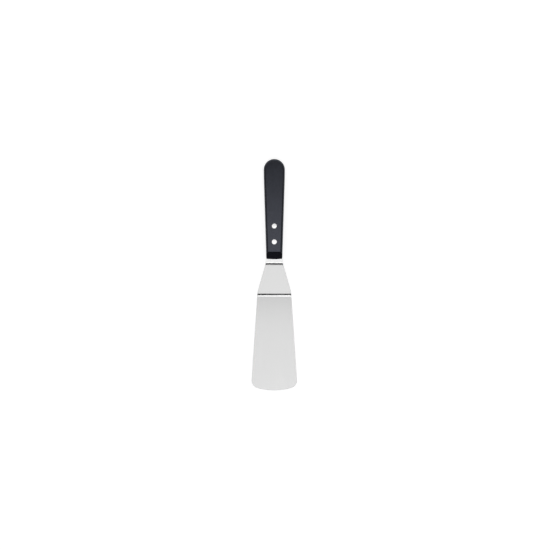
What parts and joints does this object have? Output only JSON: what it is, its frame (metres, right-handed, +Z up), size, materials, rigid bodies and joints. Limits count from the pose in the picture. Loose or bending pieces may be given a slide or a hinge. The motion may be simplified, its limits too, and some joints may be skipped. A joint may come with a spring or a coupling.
{
  "type": "ink knife",
  "caption": "Offset ink knife: a flared, cranked stainless blade for mixing and scraping printing ink, riveted into a black moulded handle.",
  "frame": {"origin": "on the bench under the middle of the knife's overall box, as it lies at rest on its heel bend and the handle's butt", "axes": "+Y along the tool from the blade's front edge to the handle's butt, +X across the blade, +Z up from the bench"},
  "size_m": [0.0544, 0.2774, 0.0234],
  "materials": {
    "blade_steel": "stainless steel, satin, ground lengthwise",
    "handle_plastic": "black moulded plastic, satin, with a faint grain",
    "rivet_metal": "turned and polished flush"
  },
  "bodies": {
    "root": {"blade": "blade_steel", "handle": "handle_plastic", "rivet_pin_front": "rivet_metal", "rivet_pin_rear": "rivet_metal", "rivet_socket_front": "rivet_metal", "rivet_socket_rear": "rivet_metal"}
  },
  "joints": []
}
